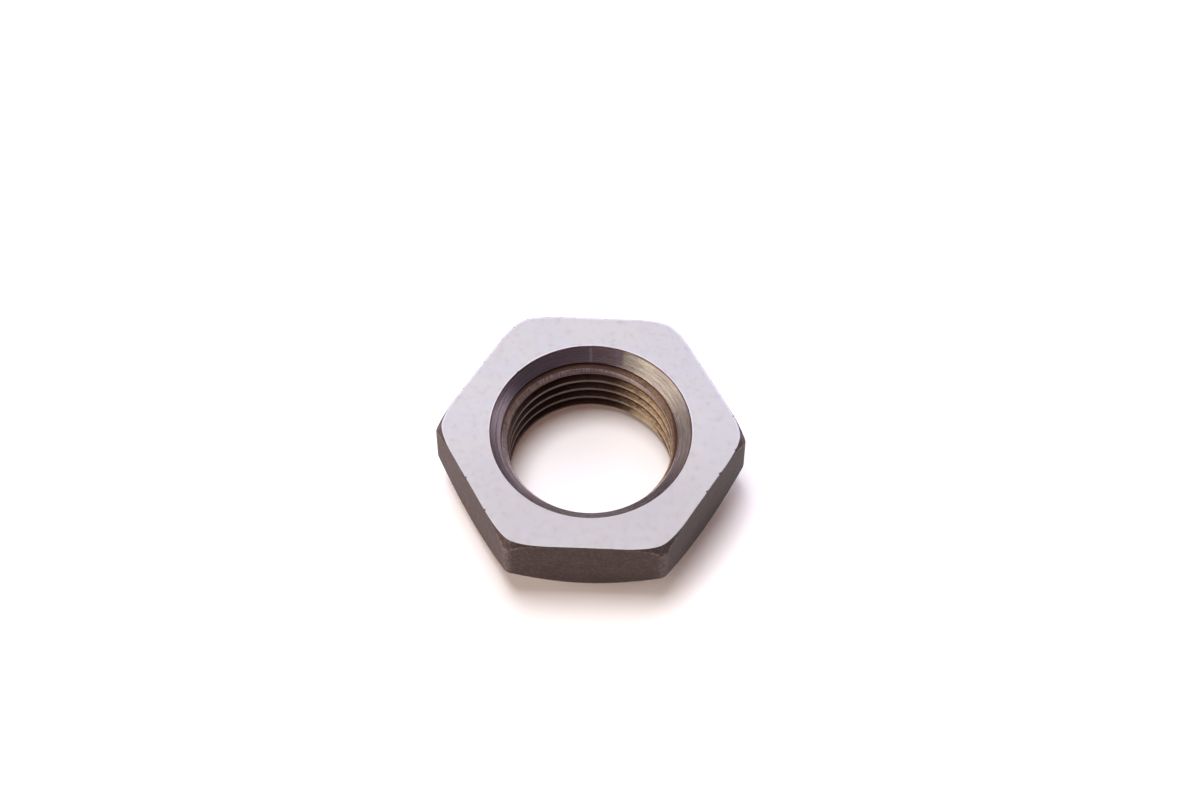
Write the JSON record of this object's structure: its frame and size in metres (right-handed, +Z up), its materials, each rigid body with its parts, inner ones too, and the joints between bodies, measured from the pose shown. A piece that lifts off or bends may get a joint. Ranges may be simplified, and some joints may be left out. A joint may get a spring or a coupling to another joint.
{
  "type": "lock nut",
  "caption": "Thin hexagon lock nut with a fine-pitch threaded bore, one ground face with a wide countersink, and chamfered corners.",
  "frame": {"origin": "middle of the base ring, on the thread's axis", "axes": "+Z up the bore to the ground face, -Y and +Y square to one pair of flats, X through two corners"},
  "size_m": [0.031, 0.027, 0.009],
  "materials": {
    "blackened_steel": "matt black oxide on the sides and the base, ground bright on the face at +Z"
  },
  "bodies": {
    "root": {"lock_nut": "blackened_steel"}
  },
  "joints": []
}
